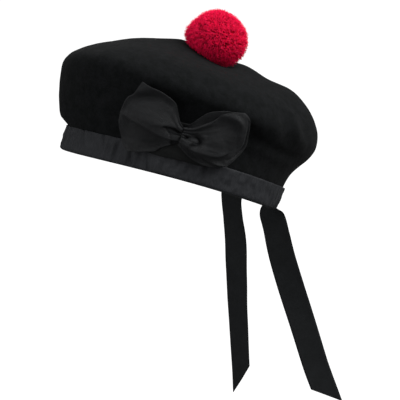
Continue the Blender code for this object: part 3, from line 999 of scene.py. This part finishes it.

# the back layer's darker shades are painted shade, for the shadow under the pinch
painted_shade_back_ribbon = make_ribbon("bow back ribbon", ((0.0030, 0.0034, 0.0034), (0.0050, 0.0056, 0.0057)), 0.80, 0.01)
back_out = np.linspace(0, 1, BACK_COLUMNS) * np.ones((BACK_ROWS, 1))
back_across = np.linspace(0, 1, BACK_ROWS)[:, None] * np.ones(BACK_COLUMNS)
back_places = leaf_patch(BACK_LEAF, back_out, back_across)
back_off = BACK_OFF + BACK_TILT * np.interp(back_places[..., 1], BACK_TILT_SPAN, (0, 1))
for place in np.ndindex(back_off.shape):
    along, up = back_places[place]
    back_off[place] += BACK_WAVE * noise.noise(Vector((along / BACK_WAVE_ALONG, up / BACK_WAVE_UP, 0)))
back_net = side_net(np.dstack((back_places, back_off)))
back_wide, back_long = widest(back_net, 0), widest(back_net, 1)
back_uvs = cloth_uvs(np.linspace(0, back_wide, BACK_ROWS), np.linspace(0, back_long, BACK_COLUMNS), "ij")
bow_back = add_piece(grid_mesh("bow_back_ribbon", back_net, back_uvs), painted_shade_back_ribbon, "bow_back",
                     thickness=BOW_THICKNESS)
print("bow back in mm:", mm(back_wide, back_long))

# %% [markdown]
# The tails
#
# The two ends of the ribbon hang from inside the back of the band. Level slices through each packed tail
# give the middle of the ribbon and the way that its width points. Just below the rim each ribbon turns from
# the band's line to its own hang. Below the last full slice it runs straight on, and its end is cut on a
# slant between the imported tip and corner.

# %% Read the tails' paths
TAIL_WIDTH = 0.0238
TAIL_SLICES = 48
TAIL_MARGIN = 0.0004
FULL_WIDTH = 0.97
PATH_BLUR = 0.8
TURN_BLUR = 1.2
CORNER_SHARE = 0.4


def tail_slice(mesh, height):
    """A level slice of a packed tail: its middle, the way its width points, and how wide it is."""
    build = bmesh.new()
    build.from_mesh(mesh)
    parts = build.verts[:] + build.edges[:] + build.faces[:]
    cut = bmesh.ops.bisect_plane(build, geom=parts, plane_co=UP * height, plane_no=UP)["geom_cut"]
    points = np.array([part.co for part in cut if isinstance(part, bmesh.types.BMVert)])
    build.free()
    centre = points.mean(axis=0)
    ways = np.linalg.svd(points - centre)[2]
    side = ways[0] * math.copysign(1, ways[0][0])
    face = np.cross(side, (0, 0, 1))
    reach = (points - centre) @ side
    depth = (points - centre) @ face
    middle = centre + side * (reach.max() + reach.min()) / 2 + face * (depth.max() + depth.min()) / 2
    return middle, side, np.ptp(reach)


def tail_path(mesh):
    """The ribbon's middle line, its width's direction, and how long each edge is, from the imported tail."""
    corners = np.array([vertex.co for vertex in mesh.vertices])
    lowest = corners[:, 2].min() + TAIL_MARGIN
    highest = corners[:, 2].max() - TAIL_MARGIN
    slices = [tail_slice(mesh, height) for height in np.linspace(highest, lowest, TAIL_SLICES)]
    middles, sides, widths = (np.array(column) for column in zip(*slices))
    runs = np.gradient(middles, axis=0)
    runs /= np.linalg.norm(runs, axis=1, keepdims=True)
    full = widths * np.linalg.norm(np.cross(sides, runs), axis=1) > FULL_WIDTH * TAIL_WIDTH
    middles = blur(middles[full], PATH_BLUR, axis=0, closed=False)
    sides = blur(sides[full], TURN_BLUR, axis=0, closed=False)
    run = middles[-1] - middles[-3]
    run /= np.linalg.norm(run)
    across = (corners - middles[-1]) @ sides[-1]
    below = (corners - middles[-1]) @ run + lengths_along(middles)[-1]
    right_edge = below[across < -CORNER_SHARE * TAIL_WIDTH].max()
    left_edge = below[across > CORNER_SHARE * TAIL_WIDTH].max()
    middles = np.vstack((middles, middles[-1] + run * TAIL_WIDTH * 2))
    return middles, np.vstack((sides, sides[-1])), right_edge, left_edge


tail_paths = {name: tail_path(frame["nodes"][name].data) for name in ("tail_left", "tail_right")}
print("points on the tails' paths:", [len(path[0]) for path in tail_paths.values()])

# %% Hang the tails
TAIL_THICKNESS = 0.0006
TAIL_ROWS = 150
TAIL_COLUMNS = 13
TAIL_BLUR = 1.0
TAIL_CUPPING = 0.0005
TAIL_WAVE = 0.0005
TAIL_WAVE_LENGTH = 0.03
TAIL_WAVE_ACROSS = 0.6
TAIL_WAVE_START = 0.04
TWIST_START = 0.004
TWIST_FULL = 0.021
TWIST_END = 0.034

tail_ribbon = make_ribbon("tail ribbon", ((0.0054, 0.0062, 0.0067), (0.0088, 0.0099, 0.0110)), 0.72, 0.01)


def hang_tail(name, node_name, seed, spare):
    """One tail, laid along its packed path with a slight cup and sway, and a spare length at its end."""
    middles, sides, right_edge, left_edge = tail_paths[node_name]
    right_edge += spare
    left_edge += spare
    gone = lengths_along(middles)
    turned = at_lengths(TWIST_END, gone, sides)
    net = np.zeros((TAIL_ROWS, TAIL_COLUMNS, 3))
    uvs = np.zeros((TAIL_ROWS, TAIL_COLUMNS, 2))
    for column, edge in enumerate(np.linspace(-1, 1, TAIL_COLUMNS)):
        length = (right_edge + left_edge) / 2 + edge * (left_edge - right_edge) / 2
        for row, down in enumerate(np.linspace(0, length, TAIL_ROWS)):
            middle = at_lengths(down, gone, middles)
            ahead = at_lengths(down + TAIL_MARGIN, gone, middles) - middle
            side = at_lengths(down, gone, sides)
            if down < TWIST_END:
                side += (turned - side) * soft_step((down - TWIST_START) / (TWIST_FULL - TWIST_START))
            ahead /= np.linalg.norm(ahead)
            side -= ahead * side.dot(ahead)
            side /= np.linalg.norm(side)
            wave = noise.noise(Vector((seed, down / TAIL_WAVE_LENGTH, edge * TAIL_WAVE_ACROSS)))
            lift = TAIL_CUPPING * (1 - edge ** 2) + TAIL_WAVE * wave * min(1, down / TAIL_WAVE_START)
            net[row, column] = middle + side * (edge * TAIL_WIDTH / 2) + np.cross(side, ahead) * lift
            uvs[row, column] = (edge * TAIL_WIDTH / 2, down)
    net = blur(net, TAIL_BLUR, axis=0, closed=False)
    tail = add_piece(grid_mesh(name, net, uvs), tail_ribbon, node_name, tipped=False,
                     thickness=TAIL_THICKNESS)
    print(name, "two edges in mm:", mm(right_edge, left_edge))


hang_tail("tail_left_ribbon", "tail_left", 3.0, 0.0035)
hang_tail("tail_right_ribbon", "tail_right", 8.0, 0.0)

# %% [markdown]
# The toorie
#
# A toorie is a pompom: many lengths of yarn tied across the middle and clipped to a ball, so that each cut
# end opens into a small tuft. The imported ball gives its size and lean. A red core sits inside, and tufts are
# scattered over it by Geometry Nodes, never closer than a least gap. Each tuft carries two marks for its
# colour: how far along each fibre a point is, which paints shade darker towards the roots deep in the ball,
# and a random tone of its own. The core carries neither mark, so it is painted in the darkest shade.

# %% Make the toorie's core from the imported ball
CORE_COLUMNS = 48
CORE_ROWS = 32
CORE_SHARE = 0.835
CORE_BLUR_ROUND = 2
CORE_BLUR_UP = 1.5
# a tip towards the front, a flatter underside and shoulder, and a fuller top: each one's direction,
# spread in radians, and share of the reach
TOORIE_PUSHES = (((-0.61, -0.77, 0.16), 0.26, 0.27), ((-0.31, -0.70, -0.64), 0.45, -0.09),
                 ((-0.55, -0.47, 0.68), 0.45, -0.11), ((0.10, -0.05, 0.99), 0.35, 0.03))

toorie_surface = level_surface("toorie")
toorie_points = np.array(level_points("toorie"))
toorie_middle = Vector((toorie_points.max(axis=0) + toorie_points.min(axis=0)) / 2)


def toorie_reach(way):
    """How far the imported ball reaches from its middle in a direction, pulled out or pressed in there."""
    hit = toorie_surface.ray_cast(toorie_middle + way * RAY_START, -way)[0]
    push = 1.0
    for aim, spread, share in TOORIE_PUSHES:
        push += share * math.exp(-(way.angle(LEVEL @ Vector(aim)) / spread) ** 2)
    return (hit - toorie_middle).length * push


core_ways = [[Vector((math.cos(rise) * math.cos(turn), math.cos(rise) * math.sin(turn), math.sin(rise)))
              for turn in np.linspace(0, math.tau, CORE_COLUMNS, endpoint=False)]
             for rise in np.linspace(-math.pi / 2, math.pi / 2, CORE_ROWS)]
core_reaches = np.array([[toorie_reach(way) for way in row] for row in core_ways])
core_reaches = blur(core_reaches, CORE_BLUR_ROUND, axis=1, closed=True)
core_reaches = blur(core_reaches, CORE_BLUR_UP, axis=0, closed=False)
for pole in (0, -1):
    core_reaches[pole] = core_reaches[pole].mean()
core_net = np.array([[toorie_middle + way * (reach * CORE_SHARE) for way, reach in zip(ways, reaches)]
                     for ways, reaches in zip(core_ways, core_reaches)])
core_mesh = grid_mesh("toorie_core", core_net, wrap=True)
print("toorie reach in mm:", mm(core_reaches.min(), core_reaches.max()))

# %% Make the tufts and their yarn
TUFT_KINDS = 6
TUFT_FIBRES = 8
TUFT_LENGTH = 0.0054
TUFT_LENGTHS = (0.86, 1.06)
TUFT_SPREAD = 0.0019
FIRST_TUFT_SEED = 100
FIBRE_STEPS = 3
FIBRE_SIDES = 3
FIBRE_RADIUS = 0.00034
FIBRE_CURL = 0.5
FIBRE_OPENING = 1.4
FIBRE_ROOT = 1.15
FIBRE_TAPER = 0.95
FIBRE_BLUNTNESS = 2.5
YARN_SHADES = ((0.46, 0.0013, 0.028), (0.93, 0.0022, 0.070))
# the power on the stem mark that paints shade darker towards the fibres' roots
ROOT_PAINTED_SHADE = 0.8


def make_tuft(index):
    """A tuft of tapered fibres that open outwards along +Z, marked from root to tip."""
    draw = np.random.default_rng(FIRST_TUFT_SEED + index)
    build = bmesh.new()
    stem = build.verts.layers.float.new("stem")
    for fibre in range(TUFT_FIBRES):
        lean = draw.normal(0, 1, 2) * TUFT_SPREAD
        curl = draw.normal(0, 1, 2) * TUFT_SPREAD * FIBRE_CURL
        tall = TUFT_LENGTH * draw.uniform(*TUFT_LENGTHS)
        rings = []
        for along in np.linspace(0, 1, FIBRE_STEPS + 1):
            x, y = lean * along ** FIBRE_OPENING + curl * math.sin(math.pi * along)
            radius = FIBRE_RADIUS * (FIBRE_ROOT - FIBRE_TAPER * along ** FIBRE_BLUNTNESS)
            angles = [math.tau * side / FIBRE_SIDES + fibre for side in range(FIBRE_SIDES)]
            rings.append([build.verts.new((x + radius * math.cos(angle), y + radius * math.sin(angle),
                                           tall * along)) for angle in angles])
            for vert in rings[-1]:
                vert[stem] = along
        for lower, upper in zip(rings, rings[1:]):
            for side in range(FIBRE_SIDES):
                beside = (side + 1) % FIBRE_SIDES
                build.faces.new((lower[side], lower[beside], upper[beside], upper[side]))
        build.faces.new(rings[-1])
        build.faces.new(rings[0][::-1])
    mesh = bpy.data.meshes.new("tuft " + str(index))
    build.to_mesh(mesh)
    build.free()
    mesh.shade_smooth()
    return bpy.data.objects.new(mesh.name, mesh)


tuft_shelf = bpy.data.collections.new("tufts")
for index in range(TUFT_KINDS):
    tuft_shelf.objects.link(make_tuft(index))

yarn, yarn_tree, yarn_shader = new_material("red yarn")
stem, shade = (add_node(yarn_tree, "ShaderNodeAttribute", {}, attribute_name=name)["Fac"]
               for name in ("stem", "tuft shade"))
# painted shade: the low shade at each fibre's root, and on the unmarked core, stands for shadow inside the
# ball
light = add_math(yarn_tree, "MULTIPLY", add_math(yarn_tree, "POWER", stem, ROOT_PAINTED_SHADE), shade)
feed(yarn_tree, yarn_shader, {
    "Base Color": add_ramp(yarn_tree, light, YARN_SHADES, (0, 1)), "Roughness": 0.9,
    "Specular IOR Level": 0.15, "Sheen Weight": 0.30, "Sheen Tint": (1, 0.10, 0.25, 1)})

# %% Scatter the tufts over the core
TUFT_GAP = 0.0017
TUFT_DENSITY = 1000000
TUFT_TILT = 0.50
TUFT_SHADES = (0.80, 1.0)
SCATTER_SEED = 5

scatter, scatter_in, scatter_end = new_group(
    "scatter tufts", "GeometryNodeTree", {"Core": "Geometry", "Least gap": "Float", "Seed": "Int"},
    {"Ball": "Geometry"})
points = add_node(scatter, "GeometryNodeDistributePointsOnFaces", {
    "Mesh": scatter_in["Core"], "Distance Min": scatter_in["Least gap"], "Density Max": TUFT_DENSITY,
    "Seed": scatter_in["Seed"]}, distribute_method="POISSON")
shelf = add_node(scatter, "GeometryNodeCollectionInfo", {
    "Collection": tuft_shelf, "Separate Children": True, "Reset Children": True}, transform_space="ORIGINAL")
planted = add_node(scatter, "GeometryNodeInstanceOnPoints", {
    "Points": points["Points"], "Rotation": points["Rotation"], "Instance": shelf["Instances"],
    "Pick Instance": True})
tilt = add_node(scatter, "FunctionNodeRandomValue", {
    "Min": (-TUFT_TILT, -TUFT_TILT, 0), "Max": (TUFT_TILT, TUFT_TILT, math.tau)}, data_type="FLOAT_VECTOR")
turned = add_node(scatter, "GeometryNodeRotateInstances", {
    "Instances": planted["Instances"], "Rotation": tilt["Value"]})
# a Random Value node's sockets for plain numbers are counted: 2 and 3 go in, and 1 comes out
tuft_shade = add_node(scatter, "FunctionNodeRandomValue", {2: TUFT_SHADES[0], 3: TUFT_SHADES[1]},
                      data_type="FLOAT")[1]
marked = add_node(scatter, "GeometryNodeStoreNamedAttribute", {
    "Geometry": turned["Instances"], "Name": "tuft shade", "Value": tuft_shade},
    data_type="FLOAT", domain="INSTANCE")
join = scatter.nodes.new("GeometryNodeJoinGeometry")
for part in (marked["Geometry"], scatter_in["Core"]):
    feed(scatter, join, {"Geometry": part})
real = add_node(scatter, "GeometryNodeRealizeInstances", {"Geometry": join.outputs["Geometry"]})
painted = add_node(scatter, "GeometryNodeSetMaterial", {"Geometry": real["Geometry"], "Material": yarn})
feed(scatter, scatter_end, {"Ball": painted["Geometry"]})

core = new_object("toorie core", core_mesh)
grow = core.modifiers.new("tufts", "NODES")
grow.node_group = scatter
for socket_name, value in (("Least gap", TUFT_GAP), ("Seed", SCATTER_SEED)):
    grow[scatter.interface.items_tree[socket_name].identifier] = value
grown = core.evaluated_get(bpy.context.evaluated_depsgraph_get())
toorie_mesh = bpy.data.meshes.new_from_object(grown)
toorie_mesh.name = "toorie_yarn"
for used in (core, *tuft_shelf.objects):
    bpy.data.objects.remove(used)
add_piece(toorie_mesh, None, "toorie")
print("toorie faces:", len(toorie_mesh.polygons), "triangles:",
      sum(len(face.vertices) - 2 for face in toorie_mesh.polygons))
